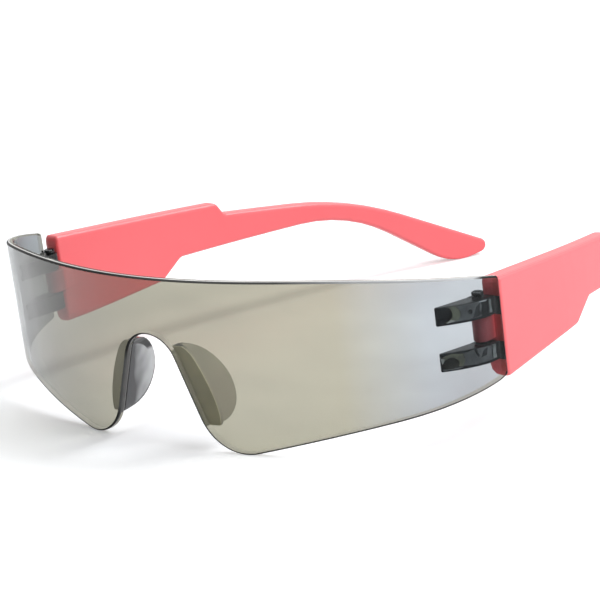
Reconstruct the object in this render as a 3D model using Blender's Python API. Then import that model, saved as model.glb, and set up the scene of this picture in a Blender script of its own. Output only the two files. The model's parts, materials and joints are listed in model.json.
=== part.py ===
"""Rimless wrap sunglasses with a one-piece shield and thick folding temples.

The pieces are laid out upright first. The shield's outer apex is the origin, X runs to the right
of someone who looks at the front, Y runs back towards the ears, and Z is measured from the lowest
point of the nose lobes. Right and left in names are as seen from in front. The whole assembly is
then tipped until it rests on its nose lobes and temple tips, centred over the world origin.
"""
import math

import bmesh
import bpy
import numpy as np
from mathutils import Matrix, Vector

MM = 0.001

# Shield, seen from above: a gentle front arc, a smooth change, and a tight arc at each side
SHIELD_FRONT_ARC = 55.6 * MM
SHIELD_CHANGE_ARC = 12.0 * MM
SHIELD_SIDE_ARC = 20.7 * MM
SHIELD_FRONT_RADIUS = 117.0 * MM
SHIELD_SIDE_RADIUS = 27.1 * MM
SHIELD_THICKNESS = 1.8 * MM
SHIELD_HALF_ARC = SHIELD_FRONT_ARC + SHIELD_CHANGE_ARC + SHIELD_SIDE_ARC

# Shield, unrolled flat: heights above the nose lobes
TOP_CENTRE_HEIGHT = 40.6 * MM
TOP_END_HEIGHT = 35.5 * MM
TOP_CROWN = 1.55 * MM
END_BOTTOM_HEIGHT = 12.6 * MM
END_CORNER_RADIUS = 0.9 * MM
LOWER_EDGE_RADIUS = 1090.0 * MM
NOSE_LOBE_OFFSET = 24.15 * MM
NOSE_LOBE_RADIUS = 12.35 * MM
NOTCH_ARCH_HEIGHT = 27.0 * MM
NOTCH_ARCH_RADIUS = 7.8 * MM
SHIELD_EDGE_BEVEL = 0.25 * MM

# Gap between pieces that rest on or are cut by each other
SEAT_GAP = 0.3 * MM
CUT_OVERRUN = 1.0 * MM
SPLIT_TOLERANCE = 0.03 * MM

# Hinge
HINGE_INSET = 5.25 * MM
KNUCKLE_RADIUS = 1.9 * MM
KNUCKLE_HEIGHT = 5.6 * MM
KNUCKLE_BASE_HEIGHT = 20.7 * MM
KNUCKLE_ROOT = 3.4 * MM
KNUCKLE_RAMP = 3.6 * MM
KNUCKLE_BEVEL = 0.2 * MM
LUG_LENGTH = 16.8 * MM
LUG_HEIGHT = 4.25 * MM
LUG_TIP_THICKNESS = 0.7 * MM
LUG_OVERHANG = 0.5 * MM
LUG_RISE = 0.9 * MM
LUG_BEVEL = 0.28 * MM
POCKET_LENGTH = 6.0 * MM
POCKET_HEIGHT = 1.6 * MM
POCKET_DEPTH = 0.5 * MM
SCREW_RADIUS = 0.7 * MM
SCREW_HEAD_RADIUS = 1.35 * MM
SCREW_HEAD_HEIGHT = 0.8 * MM
SCREW_CHAMFER = 0.15 * MM
SCREW_SLOT_WIDTH = 0.45 * MM
SCREW_SLOT_DEPTH = 0.4 * MM

# Nose pads: a crescent flange on the back of the shield and a D-shaped blade that stands back
PAD_BOTTOM = 5.9 * MM
PAD_TOP_DROP = 2.5 * MM
PAD_PEAK = 14.3 * MM
PAD_DEPTH = 12.6 * MM
PAD_TOP = NOTCH_ARCH_HEIGHT - PAD_TOP_DROP
PAD_FLANGE_WIDTH = 4.6 * MM
PAD_FLANGE_END_WIDTH = 2.0 * MM
PAD_FLANGE_THICKNESS = 1.1 * MM
PAD_BLADE_THICKNESS = 1.2 * MM
PAD_EDGE_INSET = 0.4 * MM
PAD_BEVEL = 0.35 * MM
PAD_FLARE = math.radians(5.5)
PAD_UPPER_FULLNESS = 1.7
PAD_LOWER_FULLNESS = 2.4

# Temples, seen from above
TEMPLE_LENGTH = 153.3 * MM
TEMPLE_GAP = 1.3 * MM
TEMPLE_INSET = 0.95 * MM
TEMPLE_THICKNESS = 4.9 * MM
TEMPLE_TIP_THICKNESS = 4.3 * MM
TEMPLE_STRAIGHT = 25.0 * MM
TEMPLE_PLAN_RADIUS = 402.0 * MM
TEMPLE_TOE_IN = math.radians(5.2)
TEMPLE_EDGE_RADIUS = 1.0 * MM
PANEL_HEEL_RADIUS = 2.4 * MM
PANEL_HEEL_FADE = 12.0 * MM

# Temples, seen from the side: distance from the front face, height, and fillet radius
PANEL_FRONT_BOTTOM = 11.3 * MM
PANEL_FRONT_TOP = 34.65 * MM
PANEL_FRONT_RADIUS = 1.6 * MM
PANEL_TOP_RADIUS = 1.2 * MM
PANEL_REAR_BOTTOM = (34.3 * MM, 12.75 * MM)
PANEL_REAR_BOTTOM_RADIUS = 1.5 * MM
STEP_UNDERSIDE = (41.6 * MM, 17.4 * MM)
STEP_UNDERSIDE_RADIUS = 3.0 * MM
STEP_TOP = (56.2 * MM, 28.8 * MM)
STEP_TOP_RADIUS = 1.6 * MM
STEP_FOOT = (58.6 * MM, 25.3 * MM)
STEP_FOOT_RADIUS = 1.2 * MM
EAR_BEND_UNDER = (TEMPLE_LENGTH - 50.9 * MM, 14.5 * MM)
EAR_BEND_UNDER_RADIUS = 60.0 * MM
EAR_BEND_OVER = (TEMPLE_LENGTH - 49.3 * MM, 18.3 * MM)
EAR_BEND_OVER_RADIUS = 120.0 * MM
TIP_HEEL = (TEMPLE_LENGTH - 16.1 * MM, -9.8 * MM)
TIP_HEEL_RADIUS = 18.0 * MM
TIP_END = (TEMPLE_LENGTH, -7.1 * MM)
TIP_END_RADIUS = 2.0 * MM

# Facet counts
FRONT_STRIPS = 12
SIDE_STRIPS = 14
PLAN_STEPS = 1600
CORNER_SEGMENTS = 4
LOBE_SEGMENTS = 18
ARCH_SEGMENTS = 9
LOWER_EDGE_SEGMENTS = 10
FILLET_SEGMENTS = 6
SECTION_CORNER_SEGMENTS = 3
PAD_STATIONS = 9
ROUND_SEGMENTS = 24
SETTLING_ROUNDS = 4
STATION_SPACING = 7.0 * MM
FAR_STATION_SPACING = 10.5 * MM
MIN_STATION_SPACING = 0.3 * MM
FRONT_STATION_SPACING = 0.1 * MM
TIP_STATION_SPACING = 0.15 * MM
SECTION_CORNER_SHARE = 0.49
SMOOTH_ANGLE = math.radians(30)

RIGHT = 1
LEFT = -1
SIDE_NAMES = {RIGHT: "right", LEFT: "left"}


# Small geometry helpers

def clear_scene():
    for obj in list(bpy.data.objects):
        bpy.data.objects.remove(obj, do_unlink=True)


def material(name, colour, roughness, metallic=0.0, transmission=0.0, alpha=1.0):
    mat = bpy.data.materials.new(name)
    mat.use_nodes = True
    shader = mat.node_tree.nodes["Principled BSDF"]
    shader.inputs["Base Color"].default_value = (*colour, 1.0)
    shader.inputs["Roughness"].default_value = roughness
    shader.inputs["Metallic"].default_value = metallic
    shader.inputs["Transmission Weight"].default_value = transmission
    shader.inputs["Alpha"].default_value = alpha
    return mat


def add_object(name, bm, parent, mat=None, side=RIGHT):
    """Turn a bmesh into a named object; the left side is the right side mirrored."""
    if side == LEFT:
        bmesh.ops.scale(bm, vec=(-1, 1, 1), verts=bm.verts)
    bmesh.ops.recalc_face_normals(bm, faces=bm.faces)
    mesh = bpy.data.meshes.new(name)
    bm.to_mesh(mesh)
    bm.free()
    mesh.shade_smooth()
    mesh.set_sharp_from_angle(angle=SMOOTH_ANGLE)
    obj = bpy.data.objects.new(name, mesh)
    bpy.context.collection.objects.link(obj)
    obj.parent = parent
    if mat is not None:
        mesh.materials.append(mat)
    return obj


def add_helper(name, bm, parent, side=RIGHT):
    """A cutting or joining form that isn't a piece of the object."""
    obj = add_object(name, bm, parent, side=side)
    obj.hide_render = True
    obj.display_type = "WIRE"
    return obj


def add_empty(name, location, parent=None):
    empty = bpy.data.objects.new(name, None)
    bpy.context.collection.objects.link(empty)
    empty.location = location
    empty.parent = parent
    return empty


def add_bevel(obj, width, segments):
    bevel = obj.modifiers.new("bevel", "BEVEL")
    bevel.width = width
    bevel.segments = segments
    bevel.limit_method = "ANGLE"
    bevel.angle_limit = SMOOTH_ANGLE


def add_boolean(obj, other, operation):
    boolean = obj.modifiers.new(operation.lower(), "BOOLEAN")
    boolean.operation = operation
    boolean.object = other
    boolean.solver = "EXACT"


def arc_points(centre, radius, start, end, segments):
    """Points of an arc in a plane, both ends included, angles in radians."""
    angles = np.linspace(start, end, segments + 1)
    return [(centre[0] + radius * math.cos(a), centre[1] + radius * math.sin(a)) for a in angles]


def angle_of(point, centre):
    return math.atan2(point[1] - centre[1], point[0] - centre[0])


def filleted(corners, radii, segments):
    """A closed outline with each corner rounded by its own radius."""
    outline = []
    count = len(corners)
    for i, corner in enumerate(corners):
        here = Vector(corner)
        before = (Vector(corners[i - 1]) - here).normalized()
        after = (Vector(corners[(i + 1) % count]) - here).normalized()
        half = before.angle(after) / 2
        reach = radii[i] / math.tan(half)
        centre = here + (before + after).normalized() * (radii[i] / math.sin(half))
        start = angle_of(here + before * reach, centre)
        end = angle_of(here + after * reach, centre)
        turn = (end - start + math.pi) % (2 * math.pi) - math.pi
        outline += arc_points(centre, radii[i], start, start + turn, segments)
    return outline


def extruded(outline, low, high):
    """A prism over a plan outline, from one height to another."""
    bm = bmesh.new()
    face = bm.faces.new([bm.verts.new((x, y, low)) for x, y in outline])
    top = bmesh.ops.extrude_face_region(bm, geom=[face])
    moved = [v for v in top["geom"] if isinstance(v, bmesh.types.BMVert)]
    bmesh.ops.translate(bm, vec=(0, 0, high - low), verts=moved)
    return bm


def turned(profile, segments):
    """A solid of revolution about Z, from (radius, height) pairs, bottom to top."""
    bm = bmesh.new()
    angles = np.linspace(0, 2 * math.pi, segments, endpoint=False)
    rings = [[bm.verts.new((r * math.cos(a), r * math.sin(a), z)) for a in angles] for r, z in profile]
    loft(bm, rings)
    return bm


def loft(bm, rings):
    """Quads between neighbouring rings, and a face over each end."""
    count = len(rings[0])
    for lower, upper in zip(rings[:-1], rings[1:]):
        for i in range(count):
            j = (i + 1) % count
            bm.faces.new((lower[i], lower[j], upper[j], upper[i]))
    bm.faces.new(rings[0])
    bm.faces.new(rings[-1])


def split(bm, place, normal):
    """Cut every face along a plane, without removing anything."""
    everything = bm.verts[:] + bm.edges[:] + bm.faces[:]
    bmesh.ops.bisect_plane(bm, geom=everything, dist=SPLIT_TOLERANCE, plane_co=place, plane_no=normal)


# Shield shape

def plan_curve():
    """Arc length, x, y and heading along the right half of the shield's outer face, from above."""
    s = np.linspace(0, SHIELD_HALF_ARC, PLAN_STEPS + 1)
    blend = np.clip((s - SHIELD_FRONT_ARC) / SHIELD_CHANGE_ARC, 0, 1)
    blend = blend * blend * (3 - 2 * blend)
    curvature = (1 - blend) / SHIELD_FRONT_RADIUS + blend / SHIELD_SIDE_RADIUS
    step = SHIELD_HALF_ARC / PLAN_STEPS
    middle = (curvature[1:] + curvature[:-1]) / 2
    heading = np.concatenate([[0], np.cumsum(middle * step)])
    between = (heading[1:] + heading[:-1]) / 2
    x = np.concatenate([[0], np.cumsum(np.cos(between) * step)])
    y = np.concatenate([[0], np.cumsum(np.sin(between) * step)])
    return s, x, y, heading


PLAN = plan_curve()


def rulings():
    """Arc lengths of the straight upright lines between which the shield is flat."""
    front = np.linspace(0, SHIELD_FRONT_ARC, FRONT_STRIPS + 1)
    side = np.linspace(SHIELD_FRONT_ARC, SHIELD_HALF_ARC, SIDE_STRIPS + 1)
    return np.concatenate([front, side[1:]])


RULINGS = rulings()


def wrapped(u, depth):
    """Plan position of a point at arc length u, depth inwards from the shield's outer face."""
    s, x, y, heading = PLAN
    node_heading = np.interp(RULINGS, s, heading)
    node_x = np.interp(RULINGS, s, x) - depth * np.sin(node_heading)
    node_y = np.interp(RULINGS, s, y) + depth * np.cos(node_heading)
    side = -1 if u < 0 else 1
    px = float(np.interp(abs(u), RULINGS, node_x))
    py = float(np.interp(abs(u), RULINGS, node_y))
    return side * px, py


def top_height(u):
    """Height of the shield's top edge: highest in the middle, with a little extra crown."""
    share = (u / SHIELD_HALF_ARC) ** 2
    fall = (TOP_CENTRE_HEIGHT - TOP_END_HEIGHT) * share
    return TOP_CENTRE_HEIGHT - fall + TOP_CROWN * 4 * share * (1 - share)


def notch_geometry():
    """Centres and tangent points of the nose lobe and the notch's arch."""
    lobe = Vector((NOSE_LOBE_OFFSET, NOSE_LOBE_RADIUS))
    arch = Vector((0, NOTCH_ARCH_HEIGHT - NOTCH_ARCH_RADIUS))
    across = arch - lobe
    lean = math.atan2(across.y, across.x)
    spread = math.acos((NOSE_LOBE_RADIUS + NOTCH_ARCH_RADIUS) / across.length)
    normal = Vector((math.cos(lean + spread), math.sin(lean + spread)))
    return lobe, arch, lobe + normal * NOSE_LOBE_RADIUS, arch - normal * NOTCH_ARCH_RADIUS


def lower_edge_centre():
    """Centre of the large arc that runs from the end's bottom corner onto the nose lobe."""
    lobe, _, _, _ = notch_geometry()
    end = Vector((SHIELD_HALF_ARC, END_BOTTOM_HEIGHT))
    across = end - lobe
    to_lobe = LOWER_EDGE_RADIUS + NOSE_LOBE_RADIUS
    along = (across.length_squared + to_lobe ** 2 - LOWER_EDGE_RADIUS ** 2) / (2 * across.length)
    off = math.sqrt(to_lobe ** 2 - along ** 2)
    unit = across.normalized()
    return lobe + unit * along + Vector((unit.y, -unit.x)) * off


def half_outline():
    """Right half of the flat shield outline, from the top centre round to the arch's crown."""
    lobe, arch, lobe_tangent, arch_tangent = notch_geometry()
    edge_centre = lower_edge_centre()
    r = END_CORNER_RADIUS
    points = [(u, top_height(u)) for u in RULINGS if u < SHIELD_HALF_ARC - 2 * r]
    top_corner = (SHIELD_HALF_ARC - r, top_height(SHIELD_HALF_ARC - r) - r)
    points += arc_points(top_corner, r, math.pi / 2, 0, CORNER_SEGMENTS)
    low_corner = (SHIELD_HALF_ARC - r, END_BOTTOM_HEIGHT + r)
    points += arc_points(low_corner, r, 0, -math.pi / 2, CORNER_SEGMENTS)
    lobe_start = lobe + (edge_centre - lobe).normalized() * NOSE_LOBE_RADIUS
    start = angle_of(low_corner, edge_centre)
    end = angle_of(lobe_start, edge_centre)
    lower = arc_points(edge_centre, LOWER_EDGE_RADIUS, start, end, LOWER_EDGE_SEGMENTS)
    points += lower[1:-1]
    start = angle_of(lobe_start, lobe)
    end = angle_of(lobe_tangent, lobe)
    if end > start:
        end -= 2 * math.pi
    points += arc_points(lobe, NOSE_LOBE_RADIUS, start, end, LOBE_SEGMENTS)
    points += arc_points(arch, NOTCH_ARCH_RADIUS, angle_of(arch_tangent, arch), math.pi / 2, ARCH_SEGMENTS)
    return points


def notch_edge(height):
    """Distance of the notch's edge from the centre line at a height."""
    lobe, arch, lobe_tangent, arch_tangent = notch_geometry()
    if height < lobe_tangent.y:
        return lobe.x - math.sqrt(NOSE_LOBE_RADIUS ** 2 - (height - lobe.y) ** 2)
    if height > arch_tangent.y:
        return arch.x + math.sqrt(max(NOTCH_ARCH_RADIUS ** 2 - (height - arch.y) ** 2, 0))
    share = (height - lobe_tangent.y) / (arch_tangent.y - lobe_tangent.y)
    return lobe_tangent.x + (arch_tangent.x - lobe_tangent.x) * share


def drawn_in(outline, distance):
    """A clockwise outline moved inwards by a distance, corner by corner."""
    moved = []
    count = len(outline)
    for i, point in enumerate(outline):
        here = Vector(point)
        before = (here - Vector(outline[i - 1])).normalized()
        after = (Vector(outline[(i + 1) % count]) - here).normalized()
        along = (before + after).normalized()
        reach = distance / max(along.dot(after), SECTION_CORNER_SHARE)
        moved.append((here.x + along.y * reach, here.y - along.x * reach))
    return moved


def build_shield(parent, mat):
    """A flat sheet with chamfered edges, split along the rulings and then wrapped."""
    right = half_outline()
    outline = right + [(-u, v) for u, v in reversed(right[1:-1])]
    drawn = drawn_in(outline, SHIELD_EDGE_BEVEL)
    back_edge = SHIELD_THICKNESS - SHIELD_EDGE_BEVEL
    layers = [(drawn, 0), (outline, SHIELD_EDGE_BEVEL), (outline, back_edge), (drawn, SHIELD_THICKNESS)]
    bm = bmesh.new()
    loft(bm, [[bm.verts.new((u, depth, v)) for u, v in layer] for layer, depth in layers])
    for u in sorted({side * r for r in RULINGS[:-1] for side in (RIGHT, LEFT)}):
        split(bm, (u, 0, 0), (1, 0, 0))
    for vert in bm.verts:
        x, y = wrapped(vert.co.x, vert.co.y)
        vert.co = (x, y, vert.co.z)
    return add_object("lens_shield", bm, parent, mat)


# Hinge places, all worked out from the shield's end

END_X, END_Y = wrapped(SHIELD_HALF_ARC, 0)
END_HEADING = float(PLAN[3][-1])
LUG_REAR = END_Y + LUG_OVERHANG
HINGE_X = END_X - HINGE_INSET
HINGE_Y = LUG_REAR - KNUCKLE_RADIUS
KNUCKLE_TOP_HEIGHT = KNUCKLE_BASE_HEIGHT + KNUCKLE_HEIGHT
UPPER_LUG_HEIGHT = KNUCKLE_TOP_HEIGHT + SEAT_GAP
LOWER_LUG_HEIGHT = KNUCKLE_BASE_HEIGHT - SEAT_GAP - LUG_HEIGHT
TEMPLE_X = END_X - TEMPLE_INSET
TEMPLE_Y = END_Y + TEMPLE_GAP


def lug_outline():
    """Plan outline of a right-hand lug: along the shield, square across the back, round the eye."""
    depth = SHIELD_THICKNESS + SEAT_GAP
    tip_u = SHIELD_HALF_ARC - LUG_LENGTH
    stations = [tip_u] + [u for u in RULINGS if u > tip_u + LUG_TIP_THICKNESS]
    points = [wrapped(u, depth) for u in stations]
    last_x, last_y = points[-1]
    points.append((last_x + (LUG_REAR - last_y) / math.tan(END_HEADING), LUG_REAR))
    tip = Vector(wrapped(tip_u, depth + LUG_TIP_THICKNESS))
    hinge = Vector((HINGE_X, HINGE_Y))
    across = tip - hinge
    tangent = math.atan2(across.y, across.x) - math.acos(KNUCKLE_RADIUS / across.length)
    points += arc_points(hinge, KNUCKLE_RADIUS, math.pi / 2, tangent + 2 * math.pi, 2 * FILLET_SEGMENTS)
    points.append(tuple(tip))
    return points


def pocket_cutter(base):
    """A shallow glue pocket in the lug's face, open at its front tip."""
    tip_u = SHIELD_HALF_ARC - LUG_LENGTH
    near = SHIELD_THICKNESS - CUT_OVERRUN
    far = SHIELD_THICKNESS + SEAT_GAP + POCKET_DEPTH
    stations = np.linspace(tip_u - CUT_OVERRUN, tip_u + POCKET_LENGTH, FILLET_SEGMENTS)
    outline = [wrapped(u, near) for u in stations] + [wrapped(u, far) for u in reversed(stations)]
    low = base + (LUG_HEIGHT - POCKET_HEIGHT) / 2
    return extruded(outline, low, low + POCKET_HEIGHT)


def raise_front(bm):
    """Slope the lug upwards ahead of its eye, whose faces stay square to the hinge."""
    start = HINGE_Y - KNUCKLE_RADIUS
    front = wrapped(SHIELD_HALF_ARC - LUG_LENGTH, SHIELD_THICKNESS)[1]
    slope = LUG_RISE / (start - front)
    split(bm, (0, start, 0), (0, 1, 0))
    for vert in bm.verts:
        vert.co.z += slope * max(start - vert.co.y, 0)


def hinge_bore():
    """Cutter for the screw's hole through both lugs and the knuckle, about the hinge axis."""
    radius = SCREW_RADIUS + SEAT_GAP
    foot = LOWER_LUG_HEIGHT - CUT_OVERRUN
    crown = UPPER_LUG_HEIGHT + LUG_HEIGHT + CUT_OVERRUN
    return turned([(radius, foot), (radius, crown)], ROUND_SEGMENTS)


def about_hinge(bm):
    bmesh.ops.translate(bm, vec=(-HINGE_X, -HINGE_Y, 0), verts=bm.verts)
    return bm


def build_lug(level, base, side, hinge, bore, mat):
    bm = extruded(lug_outline(), base, base + LUG_HEIGHT)
    raise_front(bm)
    name = f"{level}_{SIDE_NAMES[side]}"
    lug = add_object(f"lug_{name}", about_hinge(bm), hinge, mat, side)
    cutter = pocket_cutter(base)
    raise_front(cutter)
    pocket = add_helper(f"pocket_form_{name}", about_hinge(cutter), hinge, side)
    add_bevel(lug, LUG_BEVEL, 2)
    add_boolean(lug, pocket, "DIFFERENCE")
    add_boolean(lug, bore, "DIFFERENCE")
    return lug


def build_screw(side, hinge, mat):
    """Cheese-headed screw: its head is above the upper lug, its end just inside the lower one."""
    foot = LOWER_LUG_HEIGHT + SEAT_GAP
    seat = UPPER_LUG_HEIGHT + LUG_HEIGHT + SEAT_GAP
    crown = seat + SCREW_HEAD_HEIGHT
    bm = turned([(SCREW_RADIUS - SCREW_CHAMFER, foot), (SCREW_RADIUS, foot + SCREW_CHAMFER),
                 (SCREW_RADIUS, seat), (SCREW_HEAD_RADIUS, seat),
                 (SCREW_HEAD_RADIUS, crown - SCREW_CHAMFER), (SCREW_HEAD_RADIUS - SCREW_CHAMFER, crown)],
                ROUND_SEGMENTS)
    screw = add_object(f"hinge_screw_{SIDE_NAMES[side]}", bm, hinge, mat, side)
    reach = SCREW_HEAD_RADIUS + CUT_OVERRUN
    half = SCREW_SLOT_WIDTH / 2
    slot_outline = [(-reach, -half), (reach, -half), (reach, half), (-reach, half)]
    slot = extruded(slot_outline, crown - SCREW_SLOT_DEPTH, crown + CUT_OVERRUN)
    cutter = add_helper(f"slot_form_{SIDE_NAMES[side]}", slot, hinge, side)
    add_boolean(screw, cutter, "DIFFERENCE")
    return screw


# Nose pads

def pad_reach(height):
    """Depth of the pad's blade behind the flange: a D made of two quarter superellipses."""
    above = height > PAD_PEAK
    span = PAD_TOP - PAD_PEAK if above else PAD_PEAK - PAD_BOTTOM
    fullness = PAD_UPPER_FULLNESS if above else PAD_LOWER_FULLNESS
    share = min(abs(height - PAD_PEAK) / span, 1)
    return (1 - share ** fullness) ** (1 / fullness)


def pad_heights():
    """Heights of the pad's sections, closer together towards its ends."""
    angles = np.linspace(0, math.pi / 2, PAD_STATIONS)
    below = [PAD_PEAK - (PAD_PEAK - PAD_BOTTOM) * math.sin(a) for a in angles]
    above = [PAD_PEAK + (PAD_TOP - PAD_PEAK) * math.sin(a) for a in angles]
    return list(reversed(below)) + above[1:]


def pad_section(height):
    """L-shaped section of the pad at a height: flange along the shield, blade standing back."""
    base = SHIELD_THICKNESS + SEAT_GAP
    share = pad_reach(height)
    flange = PAD_FLANGE_END_WIDTH + (PAD_FLANGE_WIDTH - PAD_FLANGE_END_WIDTH) * share
    least = PAD_FLANGE_THICKNESS + PAD_BEVEL
    blade = least + (PAD_DEPTH - base - least) * share
    edge = notch_edge(height) + PAD_EDGE_INSET
    root = Vector(wrapped(edge, base))
    back = Vector((math.sin(PAD_FLARE), math.cos(PAD_FLARE)))
    out = Vector((back.y, -back.x)) * PAD_BLADE_THICKNESS
    return [
        root,
        Vector(wrapped(edge + flange, base)),
        Vector(wrapped(edge + flange, base + PAD_FLANGE_THICKNESS)),
        root + out + back * PAD_FLANGE_THICKNESS,
        root + out + back * blade,
        root + back * blade,
    ]


def build_pad(side, parent, mat):
    bm = bmesh.new()
    rings = [[bm.verts.new((p.x, p.y, height)) for p in pad_section(height)] for height in pad_heights()]
    loft(bm, rings)
    pad = add_object(f"nose_pad_{SIDE_NAMES[side]}", bm, parent, mat, side)
    add_bevel(pad, PAD_BEVEL, 2)
    return pad


# Temples

def temple_outline():
    """Side view of a temple as a closed outline of (distance, height) points."""
    corners = [
        ((0, PANEL_FRONT_BOTTOM), PANEL_FRONT_RADIUS),
        (PANEL_REAR_BOTTOM, PANEL_REAR_BOTTOM_RADIUS),
        (STEP_UNDERSIDE, STEP_UNDERSIDE_RADIUS),
        (EAR_BEND_UNDER, EAR_BEND_UNDER_RADIUS),
        (TIP_HEEL, TIP_HEEL_RADIUS),
        (TIP_END, TIP_END_RADIUS),
        (EAR_BEND_OVER, EAR_BEND_OVER_RADIUS),
        (STEP_FOOT, STEP_FOOT_RADIUS),
        (STEP_TOP, STEP_TOP_RADIUS),
        ((0, PANEL_FRONT_TOP), PANEL_TOP_RADIUS),
    ]
    return filleted([c for c, _ in corners], [r for _, r in corners], FILLET_SEGMENTS)


def temple_edges():
    """The outline's lower and upper edges, each running from the front to the tip."""
    outline = temple_outline()
    tip = max(range(len(outline)), key=lambda i: outline[i][0])
    lower = outline[:tip + 1]
    upper = outline[tip:][::-1]
    return np.array(lower), np.array(upper)


def temple_stations(lower, upper):
    """Distances at which a section is taken: at the outline's own points, and between far ones."""
    front = [TEMPLE_EDGE_RADIUS * (1 - math.cos(a)) for a in np.linspace(0, math.pi / 2, CORNER_SEGMENTS)]
    wanted = sorted(set(front) | set(lower[:, 0]) | set(upper[:, 0]))
    stations = [wanted[0]]
    for distance in wanted[1:-1]:
        while distance - stations[-1] > FAR_STATION_SPACING:
            stations.append(stations[-1] + STATION_SPACING)
        least = FRONT_STATION_SPACING if distance <= TEMPLE_EDGE_RADIUS else MIN_STATION_SPACING
        if distance - stations[-1] >= least and wanted[-1] - distance > TIP_STATION_SPACING:
            stations.append(distance)
    stations.append(wanted[-1])
    return stations


def end_inset(distance, radius):
    """How far a section draws in near an end face whose edges are rounded."""
    short = min(max(radius - distance, 0), radius)
    return radius - math.sqrt(radius ** 2 - short ** 2)


def temple_place(distance, offset):
    """Plan position on a right-hand temple: distance back, offset inwards from its outer face."""
    run = min(distance, TEMPLE_STRAIGHT)
    turn = max(distance - TEMPLE_STRAIGHT, 0) / TEMPLE_PLAN_RADIUS
    heading = TEMPLE_TOE_IN + turn
    x = TEMPLE_X - run * math.sin(TEMPLE_TOE_IN)
    y = TEMPLE_Y + run * math.cos(TEMPLE_TOE_IN)
    x -= TEMPLE_PLAN_RADIUS * (math.cos(TEMPLE_TOE_IN) - math.cos(heading))
    y += TEMPLE_PLAN_RADIUS * (math.sin(heading) - math.sin(TEMPLE_TOE_IN))
    return x - offset * math.cos(heading), y - offset * math.sin(heading)


def temple_thickness(distance, length):
    share = distance / length
    return TEMPLE_THICKNESS + (TEMPLE_TIP_THICKNESS - TEMPLE_THICKNESS) * share


def heel_radius(distance):
    """Radius of the section's lower inner corner, which is fuller near the front face."""
    share = max(1 - distance / PANEL_HEEL_FADE, 0)
    return TEMPLE_EDGE_RADIUS + (PANEL_HEEL_RADIUS - TEMPLE_EDGE_RADIUS) * share


def rounded_section(low, high, near, far, heel):
    """Rounded rectangle in (offset, height), counter-clockwise from its lower near corner."""
    most = min(SECTION_CORNER_SHARE * (high - low), SECTION_CORNER_SHARE * (far - near))
    radius = min(TEMPLE_EDGE_RADIUS, most)
    heel = min(heel, most)
    corners = [
        ((near + radius, low + radius), radius, math.pi),
        ((far - heel, low + heel), heel, 1.5 * math.pi),
        ((far - radius, high - radius), radius, 0),
        ((near + radius, high - radius), radius, 0.5 * math.pi),
    ]
    points = []
    for centre, rounding, start in corners:
        points += arc_points(centre, rounding, start, start + math.pi / 2, SECTION_CORNER_SEGMENTS)
    return points


def temple_body():
    lower, upper = temple_edges()
    length = lower[-1][0]
    bm = bmesh.new()
    rings = []
    for distance in temple_stations(lower, upper):
        inset = end_inset(distance, TEMPLE_EDGE_RADIUS)
        low = float(np.interp(distance, lower[:, 0], lower[:, 1])) + inset
        high = float(np.interp(distance, upper[:, 0], upper[:, 1])) - inset
        side_inset = inset + end_inset(length - distance, TEMPLE_EDGE_RADIUS)
        thickness = temple_thickness(distance, length)
        if high - low < 2 * MIN_STATION_SPACING:
            middle = (high + low) / 2
            low = middle - MIN_STATION_SPACING
            high = middle + MIN_STATION_SPACING
        ring = []
        heel = heel_radius(distance)
        for offset, height in rounded_section(low, high, side_inset, thickness - side_inset, heel):
            x, y = temple_place(distance, offset)
            ring.append(bm.verts.new((x, y, height)))
        rings.append(ring)
    loft(bm, rings)
    return bm


def knuckle_form():
    """The hinge knuckle that reaches forward from the temple's front face, between the lugs."""
    inner = HINGE_X - KNUCKLE_RADIUS
    outer = HINGE_X + KNUCKLE_RADIUS
    face = TEMPLE_Y
    points = arc_points((HINGE_X, HINGE_Y), KNUCKLE_RADIUS, math.pi, 2 * math.pi, 2 * FILLET_SEGMENTS)
    points += [(outer, face + KNUCKLE_ROOT), (HINGE_X, face + KNUCKLE_ROOT + KNUCKLE_RAMP), (inner, face)]
    return extruded(points, KNUCKLE_BASE_HEIGHT, KNUCKLE_TOP_HEIGHT)


def build_temple(side, hinge, bore, mat):
    name = SIDE_NAMES[side]
    temple = add_object(f"temple_{name}", about_hinge(temple_body()), hinge, mat, side)
    knuckle = add_helper(f"knuckle_form_{name}", about_hinge(knuckle_form()), hinge, side)
    add_bevel(knuckle, KNUCKLE_BEVEL, 1)
    add_boolean(temple, knuckle, "UNION")
    add_boolean(temple, bore, "DIFFERENCE")
    return temple


# Resting position

def world_points(obj, graph):
    evaluated = obj.evaluated_get(graph)
    mesh = evaluated.to_mesh()
    points = [evaluated.matrix_world @ v.co for v in mesh.vertices]
    evaluated.to_mesh_clear()
    return points


def resting_tilt(front, rear):
    """Angle about X at which the lowest front and rear points stand at one height."""
    tilt = 0.0
    for _ in range(SETTLING_ROUNDS):
        up = Vector((0, math.sin(tilt), math.cos(tilt)))
        low_front = min(front, key=up.dot)
        low_rear = min(rear, key=up.dot)
        tilt = math.atan2(low_front.z - low_rear.z, low_rear.y - low_front.y)
    return tilt


def stand_on_floor(frame, pieces):
    """Tip the assembly onto its nose lobes and temple tips, and centre it over the origin."""
    bpy.context.view_layer.update()
    graph = bpy.context.evaluated_depsgraph_get()
    points = {piece.name: world_points(piece, graph) for piece in pieces}
    rear = points["temple_right"] + points["temple_left"]
    tilt = resting_tilt(points["lens_shield"], rear)
    turn = Matrix.Rotation(tilt, 4, "X")
    turned_points = [turn @ p for group in points.values() for p in group]
    low = Vector([min(p[i] for p in turned_points) for i in range(3)])
    high = Vector([max(p[i] for p in turned_points) for i in range(3)])
    frame.rotation_euler = (tilt, 0, 0)
    frame.location = (-(low.x + high.x) / 2, -(low.y + high.y) / 2, -low.z)


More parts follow.
